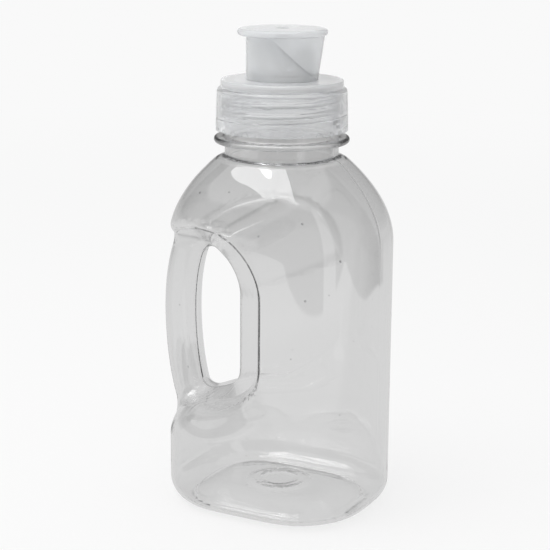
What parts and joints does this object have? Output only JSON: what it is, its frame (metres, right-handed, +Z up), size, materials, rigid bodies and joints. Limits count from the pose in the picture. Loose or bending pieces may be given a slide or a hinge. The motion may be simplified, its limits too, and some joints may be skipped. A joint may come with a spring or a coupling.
{
  "type": "plastic handle bottle",
  "caption": "Clear blow-moulded drink bottle with a through-handle, a translucent threaded cap and a push-pull spout.",
  "frame": {"origin": "on the neck's axis, on the surface that the bottle stands on", "axes": "+Z up along the neck's axis, the handle on the -X side, the parting plane at y = 0"},
  "size_m": [0.0751, 0.0584, 0.1504],
  "materials": {
    "clear_plastic": "clear, glossy, blow moulded",
    "cap_plastic": "translucent natural, satin gloss",
    "spout_plastic": "translucent natural, satin gloss",
    "liner_foam": "soft white foamed sheet"
  },
  "bodies": {
    "bottle": {"bottle": "clear_plastic"},
    "liner": {"seal_liner": "liner_foam"},
    "cap": {"screw_cap": "cap_plastic"},
    "spout": {"nozzle": "spout_plastic"}
  },
  "joints": [
    {"name": "cap_lift", "type": "slide", "parent": "bottle", "child": "liner", "axis": [0, 0, 1], "range_m": [0, 0.02064]},
    {"name": "cap_turn", "type": "hinge", "parent": "liner", "child": "cap", "pos_m": [0, 0, 0.1328], "axis": [0, 0, 1], "range_deg": [0, 2340]},
    {"name": "nozzle_pull", "type": "slide", "parent": "cap", "child": "spout", "axis": [0, 0, 1], "range_m": [0, 0.005]}
  ],
  "couplings": [
    {"joint": "cap_lift", "follows": "cap_turn", "m_per_rad": 0.00050532}
  ]
}
